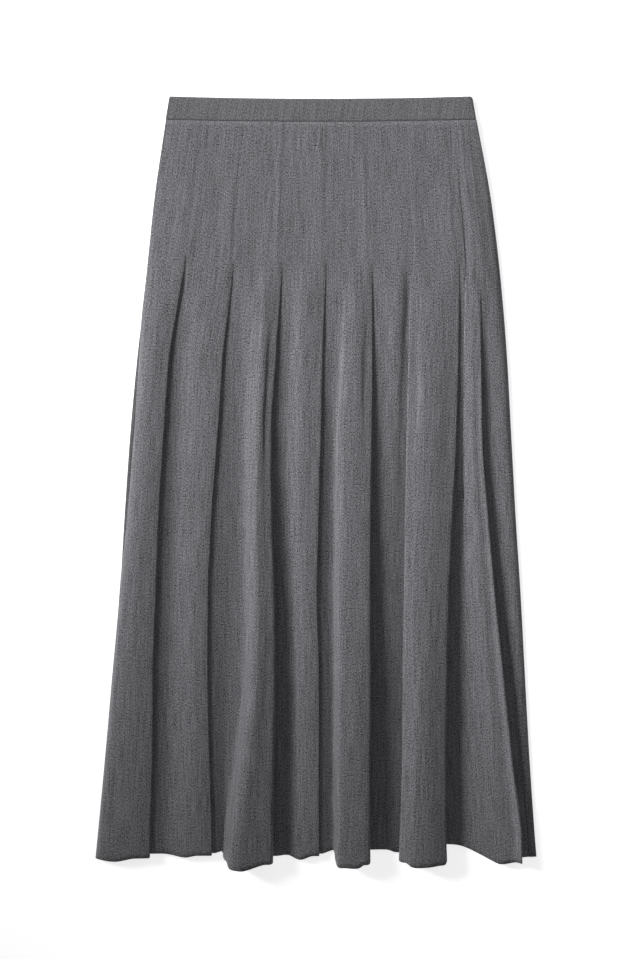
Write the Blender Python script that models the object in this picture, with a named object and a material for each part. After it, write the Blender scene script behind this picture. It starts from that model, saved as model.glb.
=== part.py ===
"""Maxi skirt laid flat on a table: a front with released tucks, a plain back, a waistband and a side zip.

The waist points to +Y, the front faces +Z and the back rests on Z = 0. Lengths in the tables are millimetres.
"down" is the distance below the waistband's top edge.
"""
import math

import bpy

MM = 0.001

# Overall sizes
CLOTH = 1.2
SEAM_GAP = 0.3
TOP_TO_CENTRE = 457.5
CENTRE_SHIFT_X = 4.75
CENTRE_SHIFT_Y = 0.6
WAIST_SEAM = 28.0
HEM = 911.0
WAIST_SAG = 3.0
SAG_FADES = 230.0
WAIST_HALF = 187.0

# Rows of the front panel, closer together where the tucks open and at the hem
FRONT_ROWS = (
    28, 90, 150, 195, 215, 232, 252, 280, 310, 352, 395,
    440, 490, 538, 580, 622, 668, 716, 768, 818, 864, 892, 911,
)
BACK_ROWS = (28, 76, 124, 214, 310, 406, 502, 598, 694, 790, 850, 886, 911)

# Where each fold edge, side and soft ridge runs, across from the middle of the waist
LINE_NAMES = (
    "left", "p1", "p2", "d_side", "p3", "p4", "f_side", "p5", "p6", "p7", "j_side", "p8", "right",
)
LINE_ROWS = {
    28: (-184.5, -140, -90, -66, -40.7, 10.3, 33, 56.8, 104, 154, 162, 172, 187.3),
    124: (-198.3, -151, -97.8, -70, -43.5, 8.3, 33, 59.5, 106.7, 161, 171, 182, 204.7),
    214: (-207.8, -163.5, -105, -76, -46.5, 6.2, 31, 61.8, 109, 166.2, 177, 190.3, 215.8),
    310: (-219, -179.3, -115.7, -82, -52.4, 3, 28, 62.5, 106, 165, 176, 192.2, 223.8),
    406: (-227.8, -186.2, -122.2, -86, -57.7, 1.1, 26, 62, 103.5, 162.5, 176, 193.5, 229),
    502: (-234.4, -192.2, -129.3, -87.8, -56.8, -1.4, 25, 60.5, 101.8, 158, 179, 200.3, 234.2),
    598: (-240.3, -195.6, -133.5, -87.7, -53.7, -3.6, 24, 60.2, 99.2, 153.6, 181, 208.8, 240.3),
    694: (-248.8, -198.7, -134, -91.8, -53, -1.2, 23, 60.5, 97.3, 151.3, 184, 218.5, 245.4),
    790: (-257.3, -199.5, -132, -102.8, -54.4, -1.2, 21.4, 59.6, 96.8, 149.8, 187, 228.5, 250.7),
    886: (-266.3, -202.7, -129.3, -112.3, -55.8, -1.2, 21.3, 59.2, 94, 149.8, 189, 239.5, 257.3),
    911: (-268.8, -203, -129.3, -113, -56, -1.2, 20.7, 59.4, 93, 150.6, 189, 240, 259.3),
}

# The back peeps out beyond the front's left edge here
LEFT_INSET = {28: 0, 250: 0, 310: 2.6, 406: 4.9, 502: 3.5, 590: 0, 911: 0}

# Heights in the next tables are of the middle of the cloth, at these distances down
HEIGHT_AT = (28, 206, 230, 310, 430, 580, 742, 911)

# Each pleat: which side lies on top, where it begins to open and how fast, the height of the cloth below it,
# how far the edge stands above that, how deep it folds back, how round its edge is, how the cloth stands
# just before the edge and how far back from it, and how much lower its hem hangs
PLEATS = {
    "p1": dict(
        over=1, opens=195, opening=28, groove=0.12,
        low=(4.5, 7.6, 6.8, 5.4, 5.2, 5.0, 5.0, 5.0),
        lift=(0, 0, 1.8, 4.5, 5.8, 6.4, 6.4, 6),
        depth=(1, 1, 1, 6, 12, 17, 21, 24),
        roll=(0.9, 0.9, 0.9, 1.1, 1.8, 2.4, 2.6, 2.4),
        rise=(0.3, 0.3, 0.3, 0.5, 0.8, 1.2, 1.4, 1.4),
        soft=(0, 0, 0, 5, 8, 10, 10, 10),
        drop_over=-2.4, drop_under=-6.6,
    ),
    "p2": dict(
        over=1, opens=203, opening=28, groove=0.12,
        low=(4.5, 7.6, 6.8, 5.4, 4.8, 4.2, 3.8, 3.6),
        lift=(0, 0, 1.8, 4.0, 4.6, 5.2, 5.8, 5.8),
        depth=(1, 1, 1, 6, 11, 16, 20, 22),
        roll=(0.9, 0.9, 0.9, 1.0, 1.5, 2.2, 2.8, 2.6),
        rise=(0.3, 0.3, 0.3, 0.3, 0.6, 1.0, 1.2, 1.2),
        soft=(0, 0, 0, 3, 6, 9, 10, 10),
        drop_over=-4.9, drop_under=-7.0,
    ),
    "p3": dict(
        over=1, opens=205, opening=28, groove=0.12,
        low=(4.5, 7.6, 6.8, 5.4, 5.0, 4.6, 4.0, 3.8),
        lift=(0, 0, 1.8, 5.5, 7, 8.5, 11, 12),
        depth=(1, 1, 1, 6, 10, 12, 11, 9),
        roll=(0.9, 0.9, 0.9, 1.3, 2.4, 3.2, 4.4, 5.0),
        rise=(0.3, 0.3, 0.3, 0.5, 1.2, 2.0, 3.2, 3.4),
        soft=(0, 0, 0, 3, 4, 4, 4, 3),
        drop_over=2.2, drop_under=-3.5,
    ),
    "p4": dict(
        over=1, opens=203, opening=28, groove=0.12,
        low=(4.5, 7.6, 6.8, 5.4, 4.8, 4.0, 3.6, 3.6),
        lift=(0, 0, 1.8, 4.4, 5.6, 5.8, 5.0, 3.6),
        depth=(1, 1, 1, 5, 6, 5, 4, 3),
        roll=(0.9, 0.9, 0.9, 1.1, 1.6, 1.8, 1.6, 1.0),
        rise=(0.3, 0.3, 0.3, 0.5, 1.0, 1.8, 2.6, 3.0),
        soft=(0, 0, 0, 3, 4, 4, 4, 5),
        drop_over=-4.2, drop_under=-6.2,
    ),
    "p5": dict(
        over=1, opens=204, opening=28, groove=0.12,
        low=(4.5, 7.6, 6.8, 5.4, 5.0, 4.4, 3.6, 3.2),
        lift=(0, 0, 1.8, 5.5, 8, 10.5, 14.5, 17),
        depth=(1, 1, 1, 6, 11, 12, 10, 8),
        roll=(0.9, 0.9, 0.9, 1.4, 2.4, 3.4, 4.4, 4.6),
        rise=(0.3, 0.3, 0.3, 0.5, 0.8, 1.2, 1.6, 1.8),
        soft=(0, 0, 0, 3, 4, 4, 3, 2),
        drop_over=2.0, drop_under=-11.2,
    ),
    "p6": dict(
        over=-1, opens=214, opening=30, groove=0.12,
        low=(4.5, 7.6, 6.8, 5.8, 5.6, 4.8, 3.8, 3.4),
        lift=(0, 0, 1.8, 4.2, 6, 9, 13.5, 16),
        depth=(1, 1, 1, 6, 10, 12, 11, 9),
        roll=(0.9, 0.9, 0.9, 1.2, 2.0, 3.0, 4.2, 4.6),
        rise=(0.3, 0.3, 0.3, 0.4, 0.8, 1.4, 2.0, 2.2),
        soft=(0, 0, 0, 2, 2, 2, 2, 1),
        drop_over=0.2, drop_under=-7.0,
    ),
    "p7": dict(
        over=1, opens=197, opening=28, groove=0.12,
        low=(4.5, 7.6, 6.8, 5.6, 5.2, 4.6, 3.6, 3.2),
        lift=(0, 0, 1.8, 4.2, 6.5, 9.5, 14, 16.5),
        depth=(1, 1, 1, 6, 11, 12, 10, 8),
        roll=(0.9, 0.9, 0.9, 1.1, 1.8, 2.8, 3.6, 4.0),
        rise=(0.3, 0.3, 0.3, 0.4, 0.7, 1.0, 1.2, 1.4),
        soft=(0, 0, 0, 3, 4, 4, 3, 2),
        drop_over=3.4, drop_under=-17.6,
    ),
    "p8": dict(
        over=1, opens=215, opening=70, groove=0.0,
        low=(4.8, 8.0, 8.0, 6.8, 5.4, 4.4, 3.8, 3.4),
        lift=(0, 0, 0.4, 3.4, 5.8, 8.4, 11.4, 14),
        depth=(1, 1, 1, 1, 2, 6, 10, 12),
        roll=(0.9, 0.9, 0.9, 0.9, 1.0, 1.0, 1.2, 1.4),
        rise=(0.2, 0.2, 0.2, -0.6, -1.4, -2.4, -3.2, -3.6),
        soft=(0, 0, 0, 0.4, 1.0, 1.8, 2.4, 2.6),
        drop_over=2.3, drop_under=-1.7,
    ),
}
STITCHED_HALF = 3.0
TURN_RADIUS = 0.8
FOOT_BEYOND = 4.0
RETURN_STEP = 0.3

# Soft ridges and troughs between the pleats: distance from a line at the waist, half way and at the hem,
# the heights at the same distances down, and how much lower the hem hangs there
OFFSET_AT = (28, 500, 911)
SURFACE = {
    "a_seam": ("left", (0, 0, 0), (4.2, 4.2, 4.0, 2.1, 2.1, 2.1, 2.1, 2.1), 0),
    "a_rim": ("left", (5, 4, 4), (4.4, 6.2, 6.4, 6.8, 7.4, 9.5, 11, 10.6), -0.2),
    "a_crest": ("left", (20, 22, 32), (4.7, 8.0, 8.6, 10.4, 12, 13, 13.4, 13), 1.8),
    "b_low": ("p1", (12, 15, 15), (4.6, 7.8, 7.4, 5.6, 4.2, 3.2, 2.9, 2.9), -5.5),
    "b_mid": ("p1", (24, 34, 36), (4.7, 8.0, 8.7, 9.6, 10.0, 10.4, 10.8, 10.6), -2.3),
    "c_low": ("p2", (8, 13, 11), (4.6, 7.8, 7.4, 5.6, 4.4, 3.4, 2.9, 2.9), -6.2),
    "d_foot": ("d_side", (-8, -10, -7), (4.7, 7.7, 7.8, 7.2, 6.0, 4.8, 4.4, 4.2), -3.0),
    "d_side": ("d_side", (0, 0, 0), (4.7, 7.9, 8.2, 9.0, 10, 11, 13, 13.5), 1.2),
    "d_shoulder": ("d_side", (5, 5, 4), (4.8, 8.1, 8.8, 10.8, 13.2, 16, 21, 22.5), 7.0),
    "d_crest": ("d_side", (11, 11, 16), (4.8, 8.4, 9.9, 12.8, 15.6, 18.6, 25, 27.6), 8.4),
    "d_back": ("d_side", (17, 17, 34), (4.8, 8.3, 9.5, 12.0, 14.6, 17.0, 21.4, 24.5), 8.6),
    "e_low": ("p3", (10, 16, 14), (4.6, 7.8, 7.3, 6.0, 5.0, 4.2, 3.8, 3.6), -4.2),
    "e_crest": ("p3", (24, 39, 37), (4.8, 8.7, 10.0, 11.2, 11.6, 12, 12, 11.4), 0.6),
    "f_low": ("p4", (9, 12, 10), (4.6, 7.8, 7.3, 6.0, 4.8, 3.6, 3.2, 3.0), -8.6),
    "f_foot": ("f_side", (-5, -4, -3), (4.6, 7.6, 7.6, 8.2, 7.4, 5.6, 4.2, 3.8), -9.4),
    "f_side": ("f_side", (0, 0, 0), (4.7, 7.8, 8.0, 9.8, 10.4, 10.8, 13, 13.6), -1.4),
    "f_shoulder": ("f_side", (4, 5, 3), (4.8, 8.0, 8.6, 11.2, 13, 15.6, 20.5, 21.5), 5.2),
    "f_crest": ("f_side", (8, 12, 10), (4.8, 8.3, 9.2, 12.2, 14.6, 17.6, 23.4, 24.6), 5.6),
    "f_back": ("p5", (-12, -13, -14), (4.8, 8.2, 9, 11.8, 14.0, 16.4, 21.4, 23.2), 5.8),
    "g_low": ("p5", (9, 12, 11), (4.6, 7.8, 7.3, 5.6, 4.4, 3.4, 2.9, 2.8), -11),
    "g_ridge": ("p6", (-11, -12, -12), (4.8, 8.7, 9.6, 9.2, 7.6, 5.2, 4.0, 3.6), -10),
    "h_left": ("p6", (12, 16, 15), (4.7, 8.3, 9.3, 11.4, 13.8, 17.0, 22, 24), 4.6),
    "h_crest": ("p7", (-22, -24, -22), (4.8, 8.4, 9.6, 11.6, 13.8, 17.0, 22, 24), 4.8),
    "i_low": ("p7", (5, 10, 12), (4.6, 7.7, 7.3, 5.8, 4.6, 3.6, 3.0, 2.9), -15.5),
    "j_foot": ("j_side", (-1.5, -6, -9), (4.6, 7.5, 7.6, 7.8, 7.0, 5.8, 4.8, 4.6), -13),
    "j_side": ("j_side", (0, 0, 0), (4.7, 7.7, 7.9, 8.8, 9.2, 9.0, 9.0, 9.4), -6.2),
    "j_shoulder": ("j_side", (1.7, 3.5, 11), (4.7, 8.0, 8.3, 9.8, 10.6, 11.2, 12, 12.6), 1.4),
    "j_crest": ("p8", (-7, -12, -25), (4.8, 8.3, 8.6, 9.7, 10.5, 11.2, 12.4, 14), 5.2),
    "k_low": ("p8", (5, 6, 6), (4.7, 7.6, 7.6, 6.2, 4.8, 3.8, 3.2, 2.8), -1.7),
    "k_mid": ("right", (-10, -12, -8), (4.6, 6.6, 6.8, 7.0, 6.2, 5.4, 4.6, 3.6), -1.7),
    "k_rim": ("right", (-4, -4, -3), (4.4, 5.2, 5.2, 5.2, 4.8, 4.2, 3.6, 2.9), -1.7),
    "k_seam": ("right", (0, 0, 0), (4.2, 2.4, 2.3, 2.1, 2.1, 2.1, 2.1, 2.1), -1.7),
}

# The front's section from the left side seam to the right one
SECTION = (
    "a_seam", "a_rim", "a_crest", "p1",
    "b_low", "b_mid", "p2",
    "c_low", "d_foot", "d_side", "d_shoulder", "d_crest", "d_back", "p3",
    "e_low", "e_crest", "p4",
    "f_low", "f_foot", "f_side", "f_shoulder", "f_crest", "f_back", "p5",
    "g_low", "g_ridge", "p6",
    "h_left", "h_crest", "p7",
    "i_low", "j_foot", "j_side", "j_shoulder", "j_crest", "p8",
    "k_low", "k_mid", "k_rim", "k_seam",
)

# Hem of the back, across from the left edge to the right one as a share, and how much lower it hangs
BACK_DROP = {0: -1, 0.1: -7, 0.25: -13, 0.55: -18, 0.77: -21, 0.9: -13, 1: -2.5}
BACK_SHARES = (0, 0.06, 0.15, 0.25, 0.4, 0.55, 0.7, 0.8, 0.88, 0.95, 1)
HEM_CURVE = 3.0

# Waistband: one strip from the closure on the left round the right side and back
BAND_WALL = 2.0
BAND_BACK_HEIGHT = 1.0
BAND_FRONT_HEIGHT = 4.6
BAND_TOP_LEFT = -180.0
BAND_TOP_RIGHT = 182.5
BAND_LOW_LEFT = -184.6
BAND_LOW_RIGHT = 187.3
BAND_CORNER = 3.0
BAND_STEPS = 14
BAND_ROWS = {0: 0.9, 0.7: 1.8, 1.8: 2.0, 14: 2.0, 26.4: 2.0, 27.2: 1.8, 27.7: 1.2}

# Concealed zip in the left side seam, its tapes closed on each other
ZIP_WIDTH = 5.0
ZIP_THICK = 1.0
ZIP_HEIGHT = 2.8
ZIP_INSET = 0.8
ZIP_ROWS = (2, 12, 18, 20, 23, 25, 40, 80, 120, 160, 204)
ZIP_BULGE = {2: 0, 18: 0, 20: 1.3, 23: 1.3, 25: 0, 204: 0}


def smooth(xs, ys, x):
    """A smooth curve through a short table that never swings past its values."""
    if x <= xs[0]:
        return ys[0]
    if x >= xs[-1]:
        return ys[-1]
    slopes = [(ys[i + 1] - ys[i]) / (xs[i + 1] - xs[i]) for i in range(len(xs) - 1)]
    tangents = [slopes[0]]
    for before, after in zip(slopes, slopes[1:]):
        flat = before * after <= 0
        tangents.append(0 if flat else 2 * before * after / (before + after))
    tangents.append(slopes[-1])
    i = max(k for k in range(len(xs) - 1) if xs[k] <= x)
    step = xs[i + 1] - xs[i]
    t = (x - xs[i]) / step
    return (
        (2 * t**3 - 3 * t**2 + 1) * ys[i]
        + (t**3 - 2 * t**2 + t) * step * tangents[i]
        + (3 * t**2 - 2 * t**3) * ys[i + 1]
        + (t**3 - t**2) * step * tangents[i + 1]
    )


def from_table(table, x):
    return smooth(tuple(table), tuple(table.values()), x)


def line(name, down):
    """Where a fold edge, side or ridge runs at this distance down."""
    column = LINE_NAMES.index(name)
    return smooth(tuple(LINE_ROWS), [row[column] for row in LINE_ROWS.values()], down)


def sag(x, down):
    """The waist dips a little in the middle, and this fades out down the skirt."""
    fade = max(0.0, 1 - down / SAG_FADES)
    return -WAIST_SAG * fade * (0.62 - (x / WAIST_HALF) ** 2)


def plan_y(x, down, drop):
    """The distance along Y of a point, with its part of the hem's drop."""
    share = max(0.0, down / HEM) ** HEM_CURVE
    return TOP_TO_CENTRE - down - drop * share + sag(x, down)


def ease(t):
    t = min(1.0, max(0.0, t))
    return t * t * (3 - 2 * t)


def mix(a, b, share):
    return [tuple(p + (q - p) * share for p, q in zip(u, v)) for u, v in zip(a, b)]


def pleat_points(name, down):
    """A pleat's section: sewn down, then a step, then an open fold, each turning smoothly into the next."""
    pleat = PLEATS[name]
    edge = line(name, down)
    low, lift, depth, roll = (
        smooth(HEIGHT_AT, pleat[key], down) for key in ("low", "lift", "depth", "roll")
    )
    over, under = pleat["drop_over"], pleat["drop_under"]
    state = min(max(0.0, (down - pleat["opens"]) / pleat["opening"]), 2.0)
    least = 2 * TURN_RADIUS + 1.8
    full = max(lift, least * min(1.0, state))
    flat = stitched_points(edge, low + lift, pleat["groove"], over, under)
    step = step_points(edge, low, full, over, under)
    fold = folded_points(edge, low, max(full, least), depth, roll, over, under)
    points = mix(flat, step, ease(state)) if state < 1 else mix(step, fold, ease(state - 1))
    foot = low + lift * (1 - ease(state))
    points.append((edge + FOOT_BEYOND, foot, under))
    if pleat["over"] < 0:
        points = [(2 * edge - x, z, drop) for x, z, drop in reversed(points)]
    return points


def stitched_points(edge, height, groove, over, under):
    """The tuck sewn down: a shallow groove."""
    points = []
    for i in range(8):
        along = 2 * i / 7 - 1
        drop = over + (under - over) * i / 7
        points.append((edge + along * STITCHED_HALF, height - groove * (1 - abs(along)), drop))
    return points


def step_points(edge, low, lift, over, under):
    """The tuck just below its stitching: a step without an overlap."""
    outline = (
        (-1.5, lift), (-0.55, lift - 0.2), (0, lift * 0.78), (0.05, lift * 0.6),
        (0.1, lift * 0.4), (0.15, lift * 0.22), (0.7, 0.2), (1.65, 0),
    )
    return [
        (edge + x, low + z, over + (under - over) * i / 7) for i, (x, z) in enumerate(outline)
    ]


def folded_points(edge, low, lift, depth, roll, over, under):
    """The open pleat: a rounded edge, the layer that folds back, and the turn below it."""
    radius = min((lift - 2 * TURN_RADIUS) / 2, roll)
    middle = low + lift - radius
    centre = edge - radius
    points = [(centre, low + lift, over)]
    for angle in (45, 0, -45):
        turn = math.radians(angle)
        share = (0.5 - math.sin(turn) / 2) * radius / (lift / 2)
        x = centre + radius * math.cos(turn)
        z = middle + radius * math.sin(turn)
        points.append((x, z, over + (under - over) * share))
    below = over + (under - over) * min(1.0, 2 * radius / lift)
    points.append((centre - RETURN_STEP, low + max(lift - 2 * radius, 2 * TURN_RADIUS), below))
    points.append((centre - depth, low + 2 * TURN_RADIUS, under))
    points.append((centre - depth - TURN_RADIUS, low + TURN_RADIUS, under))
    points.append((centre - depth, low, under))
    return points


def shoulder(name, down):
    """A point on the upper cloth just before a pleat's edge, clear of the layer that folds back below."""
    pleat = PLEATS[name]
    side = pleat["over"]
    points = pleat_points(name, down)
    edge = points[0] if side > 0 else points[-1]
    lift, depth, rise, soft = (
        smooth(HEIGHT_AT, pleat[key], down) for key in ("lift", "depth", "rise", "soft")
    )
    close = min(1.0, max(0.0, (8 - lift) / 3)) * ease((lift - 2) / 1.2)
    reach = 2.4 + max(close * ease((down - pleat["opens"]) / 40) * depth, soft)
    return (edge[0] - side * reach, edge[1] + rise, edge[2])


def surface_point(name, down):
    start, offsets, heights, drop = SURFACE[name]
    x = line(start, down) + smooth(OFFSET_AT, offsets, down)
    if name.startswith("a_"):
        x += from_table(LEFT_INSET, down)
    return (x, smooth(HEIGHT_AT, heights, down), drop)


def front_section(down):
    """The whole front's section at one distance down."""
    points, crests = [], []
    for name in SECTION:
        if name in SURFACE:
            if name.endswith("_crest"):
                crests.append(len(points))
            points.append(surface_point(name, down))
            continue
        pleat = pleat_points(name, down)
        beside = [shoulder(name, down)]
        points += beside + pleat if PLEATS[name]["over"] > 0 else pleat + beside
    for i in reversed(crests):
        points.insert(i + 1, rounded_between(points, i))
        points.insert(i, rounded_between(points, i - 1))
    return points


def rounded_between(points, i):
    """The point half way to the next one on a rounded curve through both."""
    near = points[i - 1: i + 3]
    return tuple((9 * (b + c) - a - d) / 16 for a, b, c, d in zip(*near))


def offsets_of(section, half):
    """Both faces of a wall of this half thickness along a section, with mitred corners."""
    upper, lower = [], []
    last = len(section) - 1
    for i, (x, z) in enumerate(section):
        before = section[max(i - 1, 0)]
        after = section[min(i + 1, last)]
        ax, az = unit(x - before[0], z - before[1]) if i > 0 else unit(after[0] - x, after[1] - z)
        bx, bz = unit(after[0] - x, after[1] - z) if i < last else (ax, az)
        nx, nz = unit(-az - bz, ax + bx)
        cosine = max(0.5, -nx * az + nz * ax)
        reach = half / cosine
        upper.append((x + nx * reach, z + nz * reach))
        lower.append((x - nx * reach, z - nz * reach))
    return upper, lower


def unit(x, z):
    length = math.hypot(x, z)
    return x / length, z / length


def wall(rows):
    """A closed wall through rows, each given as its middle line, its Y values and its thickness."""
    vertices, faces = [], []
    count = len(rows[0][0])
    for section, ys, thick in rows:
        for side in offsets_of(section, thick / 2):
            vertices += [
                ((x + CENTRE_SHIFT_X) * MM, (y + CENTRE_SHIFT_Y) * MM, z * MM)
                for (x, z), y in zip(side, ys)
            ]
    def upper(row, i):
        return 2 * row * count + i
    def lower(row, i):
        return (2 * row + 1) * count + i
    for row in range(len(rows) - 1):
        for i in range(count - 1):
            faces.append((upper(row, i), upper(row + 1, i), upper(row + 1, i + 1), upper(row, i + 1)))
            faces.append((lower(row, i), lower(row, i + 1), lower(row + 1, i + 1), lower(row + 1, i)))
        faces.append((upper(row, 0), lower(row, 0), lower(row + 1, 0), upper(row + 1, 0)))
        end = count - 1
        faces.append((upper(row, end), upper(row + 1, end), lower(row + 1, end), lower(row, end)))
    bottom = len(rows) - 1
    for i in range(count - 1):
        faces.append((upper(0, i), upper(0, i + 1), lower(0, i + 1), lower(0, i)))
        faces.append((upper(bottom, i + 1), upper(bottom, i), lower(bottom, i), lower(bottom, i + 1)))
    return vertices, faces


def front_rows():
    rows = []
    for down in FRONT_ROWS:
        points = front_section(down)
        place = down + SEAM_GAP if down == FRONT_ROWS[0] else down
        ys = [plan_y(x, place, drop) for x, z, drop in points]
        rows.append(([(x, z) for x, z, drop in points], ys, CLOTH))
    return rows


def back_rows():
    rows = []
    for down in BACK_ROWS:
        left, right = line("left", down), line("right", down)
        place = down + SEAM_GAP if down == BACK_ROWS[0] else down
        section, ys = [], []
        for share in BACK_SHARES:
            x = left + (right - left) * share
            section.append((x, CLOTH / 2))
            ys.append(plan_y(x, place, from_table(BACK_DROP, share)))
        rows.append((section, ys, CLOTH))
    return rows


def band_rows():
    rows = []
    radius = (BAND_FRONT_HEIGHT - BAND_BACK_HEIGHT) / 2
    for down, thick in BAND_ROWS.items():
        share = down / WAIST_SEAM
        corner = max(0.0, 1 - down / BAND_CORNER) ** 2
        left = BAND_TOP_LEFT + (BAND_LOW_LEFT - BAND_TOP_LEFT) * share + corner
        right = BAND_TOP_RIGHT + (BAND_LOW_RIGHT - BAND_TOP_RIGHT) * share - corner - BAND_WALL / 2
        turn = right - radius
        section = []
        for i in range(BAND_STEPS + 1):
            section.append((left + (turn - left) * i / BAND_STEPS, BAND_FRONT_HEIGHT))
        for angle in (60, 30, 0, -30, -60):
            a = math.radians(angle)
            middle = BAND_BACK_HEIGHT + radius
            section.append((turn + radius * math.cos(a), middle + radius * math.sin(a)))
        for i in range(BAND_STEPS, -1, -1):
            section.append((left + (turn - left) * i / BAND_STEPS, BAND_BACK_HEIGHT))
        rows.append((section, [plan_y(x, down, 0) for x, z in section], thick))
    return rows


def zip_rows():
    rows = []
    for down in ZIP_ROWS:
        share = min(1.0, down / WAIST_SEAM)
        edge = BAND_TOP_LEFT + (BAND_LOW_LEFT - BAND_TOP_LEFT) * share
        if down > WAIST_SEAM:
            edge = line("left", down)
        outer = edge + ZIP_INSET - from_table(ZIP_BULGE, down)
        inner = edge + ZIP_INSET + ZIP_WIDTH
        section = [(outer, ZIP_HEIGHT), ((outer + inner) / 2, ZIP_HEIGHT), (inner, ZIP_HEIGHT)]
        rows.append((section, [plan_y(x, down, 0) for x, z in section], ZIP_THICK))
    return rows


def material(name, colour, roughness):
    made = bpy.data.materials.new(name)
    made.use_nodes = True
    shader = made.node_tree.nodes["Principled BSDF"]
    shader.inputs["Base Color"].default_value = (*colour, 1)
    shader.inputs["Roughness"].default_value = roughness
    shader.inputs["Metallic"].default_value = 0.0
    return made


def add_piece(name, rows, look, rounded):
    vertices, faces = wall(rows)
    mesh = bpy.data.meshes.new(name)
    mesh.from_pydata(vertices, [], faces)
    mesh.validate()
    mesh.materials.append(look)
    for face in mesh.polygons:
        face.use_smooth = rounded
    mesh.set_sharp_from_angle(angle=math.radians(SHARP_ANGLE))
    piece = bpy.data.objects.new(name, mesh)
    bpy.context.scene.collection.objects.link(piece)
    return piece


for old in list(bpy.data.objects):
    bpy.data.objects.remove(old, do_unlink=True)

SHARP_ANGLE = 50
GREY_CLOTH = (0.158, 0.155, 0.168)
GREY_BAND = (0.150, 0.147, 0.158)
GREY_INSIDE = (0.120, 0.118, 0.126)
GREY_ZIP = (0.070, 0.070, 0.075)

add_piece("front_skirt", front_rows(), material("front_cloth", GREY_CLOTH, 0.85), True)
add_piece("back_skirt", back_rows(), material("back_cloth", GREY_INSIDE, 0.85), False)
add_piece("waistband", band_rows(), material("band_cloth", GREY_BAND, 0.85), True)
add_piece("side_zip", zip_rows(), material("zip_tape", GREY_ZIP, 0.6), False)
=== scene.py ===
"""Maxi skirt laid flat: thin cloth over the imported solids, with its tucks, folds, seams and weave."""
import math

import bpy
import numpy as np
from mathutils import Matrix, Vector, noise


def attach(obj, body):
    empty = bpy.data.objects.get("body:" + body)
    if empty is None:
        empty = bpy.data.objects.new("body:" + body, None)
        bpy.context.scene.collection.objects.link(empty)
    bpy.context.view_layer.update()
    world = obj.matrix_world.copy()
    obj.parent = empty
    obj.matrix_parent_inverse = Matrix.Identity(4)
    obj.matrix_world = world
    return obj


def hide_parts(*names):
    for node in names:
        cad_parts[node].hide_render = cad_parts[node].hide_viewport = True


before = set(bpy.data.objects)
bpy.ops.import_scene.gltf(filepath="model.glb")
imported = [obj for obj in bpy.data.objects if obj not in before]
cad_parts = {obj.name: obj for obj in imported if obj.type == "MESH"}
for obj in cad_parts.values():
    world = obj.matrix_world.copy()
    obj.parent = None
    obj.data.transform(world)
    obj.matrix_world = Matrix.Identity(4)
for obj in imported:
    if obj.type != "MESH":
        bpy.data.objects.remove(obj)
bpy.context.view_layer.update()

MM = 0.001

# Sizes shared with the solids, in millimetres; "down" is the distance below the waistband's top edge
TOP_TO_CENTRE = 457.5
CENTRE_SHIFT_X = 4.75
CENTRE_SHIFT_Y = 0.6
WAIST_SEAM = 28.0
HEM = 911.0
WAIST_SAG = 3.0
SAG_MIDDLE = 0.62
SAG_FADES = 230.0
WAIST_HALF = 187.0
HEM_CURVE = 3.0

# The photograph's height in pixels, and the camera above its middle
PHOTO_HIGH = 959
MM_PER_PIXEL = 1.2
CAMERA_HEIGHT = 1.5
SENSOR = 36.0

# Where the edges and the sides of the folds run: a row for each distance down, a column for each line
LINE_NAMES = (
    "left", "p1", "p2", "d_side", "p3", "p4", "f_side", "p5", "p6", "p7", "j_side", "p8", "right",
)
LINE_ROWS = {
    28: (-184.5, -140, -90, -66, -40.7, 10.3, 33, 56.8, 104, 154, 162, 172, 187.3),
    124: (-198.3, -151, -97.8, -70, -43.5, 8.3, 33, 59.5, 106.7, 161, 171, 182, 204.7),
    214: (-207.8, -163.5, -105, -76, -46.5, 6.2, 31, 61.8, 109, 166.2, 177, 190.3, 215.8),
    310: (-219, -179.3, -115.7, -79.5, -52.4, 3, 28, 62.5, 106, 165, 176, 192.2, 223.8),
    406: (-227.8, -186.2, -122.2, -83.5, -57.7, 1.1, 22, 62, 103.5, 162.5, 176, 193.5, 229),
    502: (-234.4, -192.2, -129.3, -85, -56.8, -1.4, 20.5, 60.5, 101.8, 158, 179, 200.3, 234.2),
    598: (-240.3, -195.6, -133.5, -83.5, -53.7, -3.6, 19.5, 60.2, 100.2, 153.6, 181, 208.8, 240.3),
    694: (-248.8, -198.7, -134, -86.5, -53, -1.2, 19, 60.5, 98.8, 151.3, 184, 218.5, 245.4),
    790: (-257.3, -199.5, -132, -97, -54.4, -1.2, 18.8, 59.6, 98, 149.8, 187, 228.5, 250.7),
    886: (-266.3, -202.7, -129.3, -109.5, -55.8, -1.2, 18.6, 59.2, 95, 149.8, 189, 239.5, 257.3),
    911: (-268.8, -203, -129.3, -111, -56, -1.2, 18.4, 59.4, 94, 150.6, 189, 240, 259.3),
}

# How far the left fold's edge stands inside the back's, at each distance down
LEFT_INSET = {28: 0, 250: 0, 310: 2.6, 406: 4.9, 502: 3.5, 590: 0, 911: 0}
LEFT_FOLD = ("a_seam", "a_rim", "a_crest")

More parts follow.
